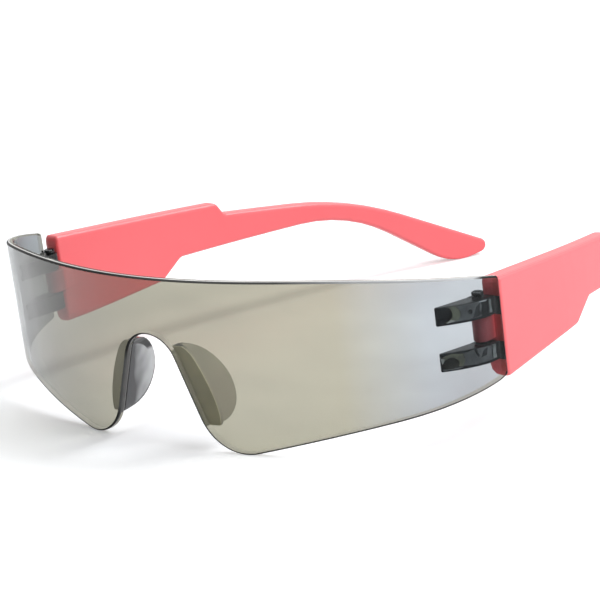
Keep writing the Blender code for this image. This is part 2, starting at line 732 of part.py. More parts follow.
def main():
    clear_scene()
    lens = material("smoke_mirror_lens", (0.20, 0.19, 0.16), 0.05, metallic=0.3, alpha=0.55)
    smoke = material("smoke_plastic", (0.10, 0.10, 0.07), 0.12, alpha=0.7)
    dark = material("dark_hinge_plastic", (0.03, 0.033, 0.033), 0.15)
    coral = material("coral_plastic", (1.0, 0.20, 0.20), 0.28)
    steel = material("screw_steel", (0.56, 0.57, 0.58), 0.25, metallic=1.0)
    frame = add_empty("resting_frame", (0, 0, 0))
    pieces = [build_shield(frame, lens)]
    for side in (RIGHT, LEFT):
        name = SIDE_NAMES[side]
        hinge = add_empty(f"hinge_axis_{name}", (side * HINGE_X, HINGE_Y, 0), frame)
        bore = add_helper(f"bore_form_{name}", hinge_bore(), hinge, side)
        pieces.append(build_pad(side, frame, smoke))
        pieces.append(build_lug("upper", UPPER_LUG_HEIGHT, side, hinge, bore, dark))
        pieces.append(build_lug("lower", LOWER_LUG_HEIGHT, side, hinge, bore, dark))
        pieces.append(build_screw(side, hinge, steel))
        pieces.append(build_temple(side, hinge, bore, coral))
    stand_on_floor(frame, pieces)


main()
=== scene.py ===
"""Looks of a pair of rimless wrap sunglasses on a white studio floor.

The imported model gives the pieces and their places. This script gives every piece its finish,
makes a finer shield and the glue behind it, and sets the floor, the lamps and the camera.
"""
import json
import math

import bmesh
import bpy
import numpy as np
from mathutils import Matrix, Vector


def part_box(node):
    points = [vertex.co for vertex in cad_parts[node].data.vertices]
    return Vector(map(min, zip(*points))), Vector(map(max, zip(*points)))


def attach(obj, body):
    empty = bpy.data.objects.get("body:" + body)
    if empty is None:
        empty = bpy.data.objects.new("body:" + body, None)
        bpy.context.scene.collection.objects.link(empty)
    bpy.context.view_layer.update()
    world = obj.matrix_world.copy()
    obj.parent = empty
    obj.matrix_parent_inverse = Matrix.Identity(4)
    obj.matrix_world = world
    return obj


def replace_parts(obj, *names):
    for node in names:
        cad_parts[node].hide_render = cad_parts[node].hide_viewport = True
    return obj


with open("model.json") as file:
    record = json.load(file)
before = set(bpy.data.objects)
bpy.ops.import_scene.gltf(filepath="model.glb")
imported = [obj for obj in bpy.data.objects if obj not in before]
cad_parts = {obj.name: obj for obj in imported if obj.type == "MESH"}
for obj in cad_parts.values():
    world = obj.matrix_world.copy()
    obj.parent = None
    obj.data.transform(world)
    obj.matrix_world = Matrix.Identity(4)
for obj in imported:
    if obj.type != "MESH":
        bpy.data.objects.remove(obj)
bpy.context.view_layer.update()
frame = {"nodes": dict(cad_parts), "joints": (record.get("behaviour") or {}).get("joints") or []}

MM = 0.001
SHARP_ANGLE = math.radians(35)
NODES = frame["nodes"]

# Sign of x on each side, as seen from in front
SIDES = {1: "right", -1: "left"}

# Tilt of the glasses at rest, read from a temple's hinge axis
HINGE_AXIS = Vector(frame["joints"][0]["axis"])
REST_TILT = math.atan2(-HINGE_AXIS.y, HINGE_AXIS.z)

# Shield, from above and unrolled flat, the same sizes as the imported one
FRONT_ARC = 55.6 * MM
CHANGE_ARC = 12.0 * MM
SIDE_ARC = 20.7 * MM
HALF_ARC = FRONT_ARC + CHANGE_ARC + SIDE_ARC
FRONT_RADIUS = 117.0 * MM
SIDE_RADIUS = 27.1 * MM
THICKNESS = 1.8 * MM
TOP_CENTRE_HEIGHT = 40.6 * MM
TOP_END_HEIGHT = 35.5 * MM
TOP_CROWN = 1.55 * MM
END_BOTTOM_HEIGHT = 12.6 * MM
END_CORNER_RADIUS = 0.9 * MM
LOWER_EDGE_RADIUS = 1090.0 * MM
NOSE_LOBE_OFFSET = 24.15 * MM
NOSE_LOBE_RADIUS = 12.35 * MM
NOTCH_ARCH_HEIGHT = 27.0 * MM
NOTCH_ARCH_RADIUS = 7.8 * MM
EDGE_ROUNDING = 0.43 * MM
# Depth of the strip behind the front rounding, which carries a painted highlight
EDGE_HIGHLIGHT_DEPTH = 0.82 * MM
RULING_SPACING = 0.7 * MM
PLAN_STEPS = 4000
CORNER_SEGMENTS = 6
LOBE_SEGMENTS = 40
ARCH_SEGMENTS = 26
LOWER_EDGE_SEGMENTS = 40
ROUNDING_SEGMENTS = 3
SPLIT_TOLERANCE = 0.01 * MM

# Materials of the shield's faces, by their place in its list
FRONT_FACE = 0
BACK_FACE = 1
# The strip and the rounded rim carry painted highlight and painted shade
PAINTED_HIGHLIGHT_STRIP = 2
DARK_RIM = 3
CLEAR_WALL = 4
WALL_BY_PAD = 5
WALL_BY_LUG = 6
STRIP_BY_PAD = 7

# Lugs and pads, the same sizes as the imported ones
LUG_TIP_ARC = HALF_ARC - 16.8 * MM
LUG_BASES = {"upper": 26.6 * MM, "lower": 16.15 * MM}
LUG_HEIGHT = 4.25 * MM
LUG_RISE = 0.9 * MM
LUG_OVERHANG = 0.5 * MM
KNUCKLE_RADIUS = 1.9 * MM
PAD_BOTTOM = 5.9 * MM
PAD_TOP = 24.5 * MM
PAD_PEAK = 14.3 * MM
WALL_BY_PAD_TRIM = 0.8 * MM
PAD_FLANGE_WIDTH = 4.6 * MM
PAD_FLANGE_END_WIDTH = 2.0 * MM
PAD_ROOT = -88.8 * MM
PAD_REACH = 10.45 * MM
BLADE_UPPER_POWER = 1.7
BLADE_LOWER_POWER = 2.4

# Painted reflection on a pad's inner face, paler rearwards and upwards, and where its dark edges, a painted
# reflection above and painted shade below, start as shares of the outline's superellipse
REFLECTION_PALER_REARWARD = 1.25
REFLECTION_PALER_FROM = 0.27
REFLECTION_PALER_PER_METRE_UP = 24.0
BROW_REFLECTION_SHARES = (0.74, 0.78)
BROW_REFLECTION_HEIGHTS = (5.5 * MM, 6.5 * MM)
LOWER_RIM_SHADE_SHARES = (0.88, 0.93)

# Front face of a temple at rest, with its lean taken out, and where painted shade deepens its colour going
# forward
TEMPLE_FRONT = -51.6 * MM
FRONT_END_SHADE_BLEND = (TEMPLE_FRONT + 0.35 * MM, TEMPLE_FRONT)
KNUCKLE_SHADE_BLEND = (TEMPLE_FRONT - 0.4 * MM, TEMPLE_FRONT - 1.2 * MM)

# Glue films in the gap behind the shield
GLUE_NEAR = THICKNESS + 0.04 * MM
GLUE_FAR = THICKNESS + 0.27 * MM
MARK_NEAR = THICKNESS + 0.015 * MM
MARK_FAR = THICKNESS + 0.035 * MM

# Glue under a pad; the left film starts further from the notch's edge
PAD_GLUE_INSETS = {1: 0.35 * MM, -1: 1.0 * MM}
GLUE_BEYOND_FLANGE = 0.7 * MM
GLUE_FOOT_TRIM = 0.2 * MM
GLUE_HEAD_TRIM = 0.1 * MM
PAD_GLUE_STEPS = 40


# Node helpers

# Places of the Mix node's colour sockets, whose names its other sockets share
MIX_COLOUR_A = 6
MIX_COLOUR_B = 7
MIX_COLOUR_RESULT = 2


class Nodes:
    """A node tree, built with short calls."""

    def __init__(self, tree):
        self.tree = tree

    def node(self, kind, **inputs):
        made = self.tree.nodes.new(kind)
        for key, value in inputs.items():
            self.put(made, key.replace("_", " "), value)
        return made

    def put(self, node, key, value):
        socket = node.inputs[key]
        if isinstance(value, bpy.types.NodeSocket):
            self.tree.links.new(value, socket)
        else:
            socket.default_value = value

    def place(self, scale=(1, 1, 1)):
        """Object coordinates in metres, stretched by a scale."""
        coords = self.node("ShaderNodeTexCoord")
        mapping = self.node("ShaderNodeMapping", Scale=scale)
        self.tree.links.new(coords.outputs["Object"], mapping.inputs["Vector"])
        return mapping.outputs["Vector"]

    def axes(self, vector=None):
        """The X, Y and Z sockets of a vector, or of the object coordinates."""
        if vector is None:
            vector = self.place()
        return self.node("ShaderNodeSeparateXYZ", Vector=vector).outputs

    def noise(self, size, detail=3.0, scale=(1, 1, 1)):
        """Noise whose blotches are about this many metres across."""
        made = self.node("ShaderNodeTexNoise", Scale=1 / size, Detail=detail)
        self.tree.links.new(self.place(scale), made.inputs["Vector"])
        return made.outputs["Fac"]

    def remap(self, value, low, high, from_low=0.0, from_high=1.0):
        made = self.node("ShaderNodeMapRange")
        self.put(made, "Value", value)
        self.put(made, "From Min", from_low)
        self.put(made, "From Max", from_high)
        self.put(made, "To Min", low)
        self.put(made, "To Max", high)
        return made.outputs["Result"]

    def blend(self, factor, first, second):
        made = self.tree.nodes.new("ShaderNodeMix")
        made.data_type = "RGBA"
        self.put(made, "Factor", factor)
        self.put(made, MIX_COLOUR_A, first)
        self.put(made, MIX_COLOUR_B, second)
        return made.outputs[MIX_COLOUR_RESULT]

    def maths(self, operation, first, second=0.0):
        made = self.tree.nodes.new("ShaderNodeMath")
        made.operation = operation
        self.put(made, 0, first)
        self.put(made, 1, second)
        return made.outputs[0]

    def vector_maths(self, operation, first, second):
        """A number from two vectors, such as their distance or dot product."""
        made = self.tree.nodes.new("ShaderNodeVectorMath")
        made.operation = operation
        self.put(made, 0, first)
        self.put(made, 1, second)
        return made.outputs["Value"]


class Shader(Nodes):
    """A material and its node tree."""

    def __init__(self, name):
        self.mat = bpy.data.materials.new(name)
        self.mat.use_nodes = True
        super().__init__(self.mat.node_tree)
        self.bsdf = self.tree.nodes["Principled BSDF"]
        self.output = self.tree.nodes["Material Output"]

    def set(self, key, value):
        self.put(self.bsdf, key, value)

    def bump(self, height, strength, distance):
        made = self.node("ShaderNodeBump", Strength=strength, Distance=distance)
        self.tree.links.new(height, made.inputs["Height"])
        self.set("Normal", made.outputs["Normal"])

    def lets_lamps_through(self, colour, clearness=None):
        """Let light through, tinted, to what lies behind; clearness lets other rays pass too."""
        path = self.node("ShaderNodeLightPath")
        clear = self.node("ShaderNodeBsdfTransparent", Color=colour)
        mix = self.tree.nodes.new("ShaderNodeMixShader")
        passing = path.outputs["Is Shadow Ray"]
        if clearness is not None:
            passing = self.maths("MAXIMUM", passing, clearness)
        self.tree.links.new(passing, mix.inputs["Fac"])
        self.tree.links.new(self.bsdf.outputs["BSDF"], mix.inputs[1])
        self.tree.links.new(clear.outputs["BSDF"], mix.inputs[2])
        self.tree.links.new(mix.outputs["Shader"], self.output.inputs["Surface"])


def rgb(red, green, blue):
    """Opaque colour with four parts, as sockets take it."""
    return (red, green, blue, 1.0)


# Finishes

LENS_FRONT_TINTS = (rgb(0.305, 0.293, 0.228), rgb(0.41, 0.395, 0.308))
LENS_SIDE_TINTS = (rgb(0.345, 0.372, 0.388), rgb(0.445, 0.48, 0.505))
LENS_TINT_REACH = 45 * MM
LENS_GRAZING_TINT = rgb(0.15, 0.16, 0.165)
LENS_STREAK_REFLECTION_TINT = rgb(0.16, 0.155, 0.14)
LENS_SHADOW_TINT = rgb(0.40, 0.405, 0.41)
LENS_FRONT_REACH = 47 * MM
LENS_SIDE_REACH = 64 * MM
LENS_FRONT_COAT = 0.9
LENS_SIDE_COAT = 0.15
LENS_COAT_IOR = 1.5
LENS_IOR = 1.1

# Heights between which the rim's grey and pale painted highlight along the top begins
RIM_TOP = (33 * MM, 35 * MM)

# Along the top, rightwards: the painted highlight on the strip behind the rim brightens, and the rim's
# painted black turns grey, then a pale painted highlight, and dark again
EDGE_HIGHLIGHT_BRIGHTENING = (-5 * MM, 15 * MM)
RIM_GREYING = (-12 * MM, 12 * MM)
RIM_FADE_IN = (36 * MM, 52 * MM)
RIM_FADE_OUT = (70.7 * MM, 71.3 * MM)

# The rim's painted black is also grey beside the left pad: leftwards in x, and upwards in z
PAD_GREYING_IN = (-4 * MM, -6 * MM)
PAD_GREYING_OUT = (-17 * MM, -18 * MM)
PAD_GREYING_FOOT = (PAD_BOTTOM, PAD_BOTTOM + 2 * MM)
PAD_GREYING_HEAD = (PAD_TOP - 5 * MM, PAD_TOP - 2 * MM)


def lens_side(s):
    """Zero over the shield's front, one round its sides."""
    across = s.maths("ABSOLUTE", s.axes()["X"])
    return s.remap(across, 0.0, 1.0, LENS_FRONT_REACH, LENS_SIDE_REACH)


def lens_tint(s, side):
    """Khaki over the front, blue-grey round the sides, darker where a ray crosses more of the sheet, and
    streaked darker with painted reflection.
    """
    along = s.remap(s.axes()["X"], 0.0, 1.0, -LENS_TINT_REACH, LENS_TINT_REACH)
    tint = s.blend(side, s.blend(along, *LENS_FRONT_TINTS), s.blend(along, *LENS_SIDE_TINTS))
    weight = s.node("ShaderNodeLayerWeight", Blend=0.5)
    slant = s.remap(weight.outputs["Facing"], 0.0, 1.0, 0.3, 0.95)
    tint = s.blend(slant, tint, LENS_GRAZING_TINT)
    # Painted reflection: the tint streaked darker
    streak_reflection = s.noise(16 * MM, 2.0, scale=(0.35, 1, 1.6))
    return s.blend(s.remap(streak_reflection, 0.0, 0.16, 0.35, 0.7), tint, LENS_STREAK_REFLECTION_TINT)


def lens_face_material(name, wave):
    """Front or back of the shield: a clear coat over the tint, and a slight wave in the surface."""
    s = Shader(name)
    side = lens_side(s)
    s.set("Base Color", lens_tint(s, side))
    s.set("Roughness", s.remap(s.noise(9 * MM), 0.0, 0.02))
    s.set("IOR", LENS_IOR)
    s.set("Transmission Weight", 1.0)
    s.set("Coat Weight", s.remap(side, LENS_FRONT_COAT, LENS_SIDE_COAT))
    s.set("Coat IOR", LENS_COAT_IOR)
    s.set("Coat Roughness", 0.01)
    s.bump(s.noise(22 * MM, 1.0), wave, 0.05 * MM)
    s.lets_lamps_through(LENS_SHADOW_TINT)
    return s.mat


def lens_edge_material(name, glow, clearness, inside, inside_clearness):
    """Edge with painted light: glow is how pale its painted highlight is where it faces up, with painted
    shade on the rest, and inside is its colour from inside the sheet.

    The two clearnesses say how much light it lets through, from outside and from inside.
    """
    s = Shader(name)
    geometry = s.node("ShaderNodeNewGeometry")
    # Painted highlight where the edge faces up, brightening rightwards, and painted shade on the rest
    highlight_share = s.remap(s.axes(geometry.outputs["Normal"])["Z"], 0.0, glow, 0.6, 0.9)
    dark = s.blend(s.noise(3 * MM), rgb(0.03, 0.03, 0.028), rgb(0.09, 0.09, 0.085))
    pale = s.blend(s.noise(4 * MM), rgb(0.50, 0.50, 0.48), rgb(0.74, 0.74, 0.72))
    bright = s.remap(s.axes()["X"], 0.0, 1.0, *EDGE_HIGHLIGHT_BRIGHTENING)
    pale = s.blend(bright, pale, rgb(0.95, 0.95, 0.94))
    outside = s.blend(highlight_share, dark, pale)
    s.set("Base Color", s.blend(geometry.outputs["Backfacing"], outside, inside))
    s.set("Roughness", s.remap(s.noise(1 * MM), 0.08, 0.2))
    s.set("IOR", 1.5)
    see_through = s.remap(geometry.outputs["Backfacing"], clearness, inside_clearness)
    s.lets_lamps_through(rgb(0.6, 0.59, 0.53), see_through)
    return s.mat


def lens_rim_material():
    """Rounded front rim, all painted: a fine black line of painted shade, but grey, then a pale painted
    highlight, along the right of the top.
    """
    s = Shader("lens_rim_painted_shade")
    black = s.blend(s.noise(5 * MM), rgb(0.004, 0.004, 0.004), rgb(0.02, 0.02, 0.018))
    place = s.axes()
    top = s.remap(place["Z"], 0.0, 1.0, *RIM_TOP)
    top = s.maths("MULTIPLY", top, s.remap(place["X"], 1.0, 0.0, *RIM_FADE_OUT))
    greyer = s.maths("MULTIPLY", top, s.remap(place["X"], 0.0, 1.0, *RIM_GREYING))
    rim_highlight = s.maths("MULTIPLY", top, s.remap(place["X"], 0.0, 1.0, *RIM_FADE_IN))
    # Painted shade in black, turning grey and then a pale painted highlight along the top
    colour = s.blend(greyer, black, rgb(0.085, 0.085, 0.082))
    colour = s.blend(rim_highlight, colour, rgb(0.42, 0.43, 0.44))
    by_pad = s.remap(place["X"], 0.0, 1.0, *PAD_GREYING_IN)
    by_pad = s.maths("MULTIPLY", by_pad, s.remap(place["X"], 1.0, 0.0, *PAD_GREYING_OUT))
    by_pad = s.maths("MULTIPLY", by_pad, s.remap(place["Z"], 0.0, 1.0, *PAD_GREYING_FOOT))
    by_pad = s.maths("MULTIPLY", by_pad, s.remap(place["Z"], 1.0, 0.0, *PAD_GREYING_HEAD))
    s.set("Base Color", s.blend(by_pad, colour, rgb(0.10, 0.103, 0.10)))
    s.set("Roughness", s.remap(s.noise(1 * MM), 0.4, 0.55))
    s.set("IOR", 1.5)
    s.set("Specular IOR Level", 0.15)
    backfacing = s.node("ShaderNodeNewGeometry").outputs["Backfacing"]
    s.lets_lamps_through(rgb(0.6, 0.6, 0.58), s.remap(backfacing, 0.0, 0.85))
    return s.mat


def lens_materials():
    """Materials of the shield, in the order of the numbers from FRONT_FACE to STRIP_BY_PAD."""
    black = rgb(0.01, 0.01, 0.01)
    olive = rgb(0.42, 0.41, 0.33)
    dark_olive = rgb(0.13, 0.13, 0.10)
    made = {
        FRONT_FACE: lens_face_material("lens_mirror_front", 0.15),
        BACK_FACE: lens_face_material("lens_smoke_back", 0.05),
        # Each edge paints a highlight where it faces up and shade on the rest
        PAINTED_HIGHLIGHT_STRIP: lens_edge_material("lens_edge_painted_highlight", 1.0, 0.0, black, 0.0),
        CLEAR_WALL: lens_edge_material("lens_clear_edge", 0.15, 0.7, black, 0.88),
        WALL_BY_PAD: lens_edge_material("lens_edge_by_pad", 0.3, 0.0, olive, 0.0),
        STRIP_BY_PAD: lens_edge_material("lens_edge_by_pad_front", 0.3, 0.0, dark_olive, 0.0),
        WALL_BY_LUG: lens_edge_material("lens_edge_by_lug", 0.1, 0.0, black, 0.0),
        DARK_RIM: lens_rim_material(),
    }
    return [made[kind] for kind in sorted(made)]


def coral_material():
    """Coral plastic, with painted shade deepening it on the front end, and much deeper painted shade on the
    knuckle.
    """
    s = Shader("coral_plastic")
    blotch = s.noise(14 * MM, 2.0)
    open_colour = s.blend(blotch, rgb(0.93, 0.146, 0.163), rgb(0.91, 0.158, 0.175))
    place = s.axes()
    along = s.maths("ADD", place["Y"], s.maths("MULTIPLY", place["Z"], math.tan(REST_TILT)))
    # Painted shade: deeper on the front end face, much deeper on the knuckle ahead of it
    front = s.remap(along, 0.0, 1.0, *FRONT_END_SHADE_BLEND)
    knuckle = s.remap(along, 0.0, 1.0, *KNUCKLE_SHADE_BLEND)
    colour = s.blend(front, open_colour, rgb(0.93, 0.115, 0.125))
    s.set("Base Color", s.blend(knuckle, colour, rgb(0.46, 0.08, 0.087)))
    s.set("Roughness", s.remap(s.noise(2.5 * MM), 0.27, 0.36))
    s.set("IOR", 1.5)
    s.bump(s.noise(0.35 * MM, 2.0), 0.12, 0.01 * MM)
    return s.mat


def smoke_material():
    """Glossy smoke plastic with painted light: pale outer faces stand in for light through the plastic, and
    cloudy inner faces carry a painted reflection that darkens towards the shield.
    """
    s = Shader("smoke_plastic")
    geometry = s.node("ShaderNodeNewGeometry")
    place = s.axes()
    normal = s.axes(geometry.outputs["True Normal"])
    rearward = s.remap(place["Y"], 0.0, 1.0, PAD_ROOT, PAD_ROOT + PAD_REACH)
    above = s.maths("SUBTRACT", place["Z"], PAD_PEAK)
    reflection_tone = s.maths("SUBTRACT", s.maths("MULTIPLY", rearward, REFLECTION_PALER_REARWARD), REFLECTION_PALER_FROM)
    reflection_tone = s.maths("ADD", reflection_tone, s.maths("MULTIPLY", above, REFLECTION_PALER_PER_METRE_UP))
    cloud = s.remap(s.noise(6 * MM, 1.0, scale=(1, 1, 0.7)), -0.5, 0.4, 0.3, 0.7)
    inner = s.blend(s.maths("ADD", reflection_tone, cloud), rgb(0.06, 0.062, 0.066), rgb(0.58, 0.60, 0.61))
    # The blade's upper back edge, darkened along the superellipse of its outline: a painted dark reflection
    rear_share = s.maths("POWER", rearward, BLADE_UPPER_POWER)
    upper_height = s.remap(above, 0.0, 1.0, 0.0, PAD_TOP - PAD_PEAK)
    upper_share = s.maths("POWER", upper_height, BLADE_UPPER_POWER)
    brow_reflection = s.remap(s.maths("ADD", rear_share, upper_share), 0.0, 1.0, *BROW_REFLECTION_SHARES)
    brow_reflection = s.maths("MULTIPLY", brow_reflection, s.remap(above, 0.0, 1.0, *BROW_REFLECTION_HEIGHTS))
    inner = s.blend(brow_reflection, inner, rgb(0.012, 0.012, 0.013))
    # Painted shade along its lower rim, following the lower superellipse
    lower_height = s.remap(above, 0.0, 1.0, 0.0, PAD_BOTTOM - PAD_PEAK)
    lower_share = s.maths("POWER", lower_height, BLADE_LOWER_POWER)
    lower_rim_shade = s.maths("ADD", s.maths("POWER", rearward, BLADE_LOWER_POWER), lower_share)
    inner = s.blend(s.remap(lower_rim_shade, 0.0, 0.8, *LOWER_RIM_SHADE_SHARES), inner, rgb(0.04, 0.042, 0.045))
    # Pale outer faces: painted light through the plastic
    outer = s.blend(s.noise(8 * MM, 1.0), rgb(0.50, 0.50, 0.46), rgb(0.68, 0.68, 0.64))
    outward = s.maths("MULTIPLY", place["X"], normal["X"])
    base = s.blend(s.maths("GREATER_THAN", outward, 0.0), inner, outer)
    # Painted shade on the blade's thin sides, whose faces turn away from x
    sideways = s.maths("ABSOLUTE", normal["X"])
    s.set("Base Color", s.blend(s.remap(sideways, 1.0, 0.0, 0.35, 0.75), base, rgb(0.035, 0.036, 0.035)))
    s.set("Roughness", s.remap(s.noise(2 * MM), 0.05, 0.12))
    s.set("IOR", 1.5)
    s.set("Specular IOR Level", 0.3)
    s.set("Transmission Weight", 0.15)
    s.lets_lamps_through(rgb(0.5, 0.5, 0.48))
    return s.mat


def lug_material():
    """Glossy plastic, almost black."""
    s = Shader("dark_hinge_plastic")
    s.set("Base Color", s.blend(s.noise(3 * MM), rgb(0.008, 0.009, 0.010), rgb(0.022, 0.024, 0.024)))
    s.set("Roughness", s.remap(s.noise(1.5 * MM), 0.1, 0.25))
    s.set("IOR", 1.5)
    s.set("Specular IOR Level", 0.3)
    s.bump(s.noise(2 * MM, 1.0), 0.2, 0.05 * MM)
    return s.mat


def glue_material(name, first, second, size):
    """Set glue, glassy and a little uneven; the lugs' painted highlights and painted shade take the same
    finish.
    """
    s = Shader(name)
    s.set("Base Color", s.blend(s.remap(s.noise(size), 0.0, 1.0, 0.35, 0.65), first, second))
    s.set("Roughness", s.remap(s.noise(1 * MM), 0.08, 0.2))
    s.set("IOR", 1.4)
    return s.mat


def lug_glue_materials():
    """Materials of the glue shapes on the lugs, by kind; some of them stand for painted highlights and
    painted shade.
    """
    glue = {
        "olive": glue_material("glue_olive", rgb(0.14, 0.14, 0.10), rgb(0.27, 0.27, 0.19), 2 * MM),
        "grey": glue_material("glue_grey", rgb(0.12, 0.12, 0.118), rgb(0.20, 0.20, 0.195), 3 * MM),
        "highlight_bead": glue_material("glue_highlight_bead", rgb(0.22, 0.23, 0.22), rgb(0.38, 0.39, 0.37), 1.5 * MM),
        "bubble": glue_material("glue_bubble", rgb(0.004, 0.004, 0.004), rgb(0.02, 0.02, 0.02), 1 * MM),
        "shade": glue_material("glue_shade", rgb(0.02, 0.02, 0.02), rgb(0.06, 0.06, 0.06), 1 * MM),
        "glint": glue_material("glue_glint", rgb(0.45, 0.46, 0.47), rgb(0.9, 0.9, 0.9), 1 * MM),
        "pocket_shade": glue_material("glue_pocket", rgb(0.015, 0.014, 0.010), rgb(0.05, 0.045, 0.032), 2 * MM),
        "glint_wedge": glue_material("glue_wedge", rgb(0.34, 0.34, 0.30), rgb(0.60, 0.60, 0.54), 1 * MM),
    }
    # The sparks, painted highlights, share the pale strip's finish
    for spark in ("spark_a", "spark_b", "spark_c"):
        glue[spark] = glue["highlight_bead"]
    return glue


def pad_glue_materials():
    """Glue under each pad, by side; the left one is a little darker."""
    return {
        1: glue_material("pad_glue_right", rgb(0.80, 0.79, 0.62), rgb(0.94, 0.93, 0.73), 5 * MM),
        -1: glue_material("pad_glue_left", rgb(0.68, 0.67, 0.53), rgb(0.82, 0.81, 0.63), 5 * MM),
    }


def steel_material():
    """Dark steel."""
    s = Shader("screw_steel")
    s.set("Base Color", s.blend(s.noise(0.4 * MM), rgb(0.035, 0.037, 0.04), rgb(0.075, 0.078, 0.08)))
    s.set("Metallic", 1.0)
    s.set("Roughness", s.remap(s.noise(0.5 * MM), 0.2, 0.35))
    return s.mat


# Fine shield

def plan_curve():
    """Arc length, x, y and heading along the right half of the shield's outer face, from above."""
    s = np.linspace(0, HALF_ARC, PLAN_STEPS + 1)
    blend = np.clip((s - FRONT_ARC) / CHANGE_ARC, 0, 1)
    blend = blend * blend * (3 - 2 * blend)
    curvature = (1 - blend) / FRONT_RADIUS + blend / SIDE_RADIUS
    step = HALF_ARC / PLAN_STEPS
    heading = np.concatenate([[0], np.cumsum((curvature[1:] + curvature[:-1]) / 2 * step)])
    between = (heading[1:] + heading[:-1]) / 2
    x = np.concatenate([[0], np.cumsum(np.cos(between) * step)])
    y = np.concatenate([[0], np.cumsum(np.sin(between) * step)])
    return s, x, y, heading


PLAN = plan_curve()
RULINGS = np.linspace(0, HALF_ARC, round(HALF_ARC / RULING_SPACING) + 1)


def wrapped(u, depth):
    """Plan position of a point at arc length u, depth inwards from the shield's outer face."""
    s, x, y, heading = PLAN
    turn = float(np.interp(abs(u), s, heading))
    px = float(np.interp(abs(u), s, x)) - depth * math.sin(turn)
    py = float(np.interp(abs(u), s, y)) + depth * math.cos(turn)
    return math.copysign(px, u), py


def arc_points(centre, radius, start, end, segments):
    """Points of an arc, both ends among them."""
    angles = np.linspace(start, end, segments + 1)
    return [(centre[0] + radius * math.cos(a), centre[1] + radius * math.sin(a)) for a in angles]


def angle_of(point, centre):
    return math.atan2(point[1] - centre[1], point[0] - centre[0])


def top_height(u):
    """Height of the flat shield's top edge: it falls towards the ends, with a slight crown between."""
    share = (u / HALF_ARC) ** 2
    fall = (TOP_CENTRE_HEIGHT - TOP_END_HEIGHT) * share
    return TOP_CENTRE_HEIGHT - fall + TOP_CROWN * 4 * share * (1 - share)


def notch_geometry():
    """Centres and tangent points of the nose lobe and the notch's arch."""
    lobe = Vector((NOSE_LOBE_OFFSET, NOSE_LOBE_RADIUS))
    arch = Vector((0, NOTCH_ARCH_HEIGHT - NOTCH_ARCH_RADIUS))
    across = arch - lobe
    lean = math.atan2(across.y, across.x)
    spread = math.acos((NOSE_LOBE_RADIUS + NOTCH_ARCH_RADIUS) / across.length)
    normal = Vector((math.cos(lean + spread), math.sin(lean + spread)))
    return lobe, arch, lobe + normal * NOSE_LOBE_RADIUS, arch - normal * NOTCH_ARCH_RADIUS


def lower_edge_centre(lobe):
    """Centre of the large arc that runs from the end's bottom corner onto the nose lobe."""
    end = Vector((HALF_ARC, END_BOTTOM_HEIGHT))
    across = end - lobe
    to_lobe = LOWER_EDGE_RADIUS + NOSE_LOBE_RADIUS
    along = (across.length_squared + to_lobe ** 2 - LOWER_EDGE_RADIUS ** 2) / (2 * across.length)
    off = math.sqrt(to_lobe ** 2 - along ** 2)
    unit = across.normalized()
    return lobe + unit * along + Vector((unit.y, -unit.x)) * off


def half_outline():
    """Right half of the flat shield outline, from the top centre round to the arch's crown."""
    lobe, arch, lobe_tangent, arch_tangent = notch_geometry()
    edge_centre = lower_edge_centre(lobe)
    r = END_CORNER_RADIUS
    points = [(u, top_height(u)) for u in RULINGS if u < HALF_ARC - 2 * r]
    top_corner = (HALF_ARC - r, top_height(HALF_ARC - r) - r)
    points += arc_points(top_corner, r, math.pi / 2, 0, CORNER_SEGMENTS)
    for base in LUG_BASES.values():
        points += [(HALF_ARC, base + LUG_HEIGHT), (HALF_ARC, base)]
    low_corner = (HALF_ARC - r, END_BOTTOM_HEIGHT + r)
    points += arc_points(low_corner, r, 0, -math.pi / 2, CORNER_SEGMENTS)
    lobe_start = lobe + (edge_centre - lobe).normalized() * NOSE_LOBE_RADIUS
    start = angle_of(low_corner, edge_centre)
    end = angle_of(lobe_start, edge_centre)
    lower = arc_points(edge_centre, LOWER_EDGE_RADIUS, start, end, LOWER_EDGE_SEGMENTS)
    points += lower[1:-1]
    start = angle_of(lobe_start, lobe)
    end = angle_of(lobe_tangent, lobe)
    if end > start:
        end -= 2 * math.pi
    points += arc_points(lobe, NOSE_LOBE_RADIUS, start, end, LOBE_SEGMENTS)
    points += arc_points(arch, NOTCH_ARCH_RADIUS, angle_of(arch_tangent, arch), math.pi / 2, ARCH_SEGMENTS)
    return points


def drawn_in(outline, distance):
    """A clockwise outline moved inwards by a distance, corner by corner."""
    moved = []
    count = len(outline)
    for i, point in enumerate(outline):
        here = Vector(point)
        before = (here - Vector(outline[i - 1])).normalized()
        after = (Vector(outline[(i + 1) % count]) - here).normalized()
        along = (before + after).normalized()
        reach = distance / along.dot(after)
        moved.append((here.x + along.y * reach, here.y - along.x * reach))
    return moved


def rounded_layers(outline):
    """Outlines through the sheet's thickness, drawn in near both faces to round its edges."""
    layers = []
    for angle in np.linspace(0, math.pi / 2, ROUNDING_SEGMENTS + 1):
        inset = EDGE_ROUNDING * (1 - math.sin(angle))
        depth = EDGE_ROUNDING * (1 - math.cos(angle))
        layers.append((drawn_in(outline, inset), depth))
    back = [(layer, THICKNESS - depth) for layer, depth in reversed(layers)]
    return layers + [(outline, EDGE_HIGHLIGHT_DEPTH)] + back


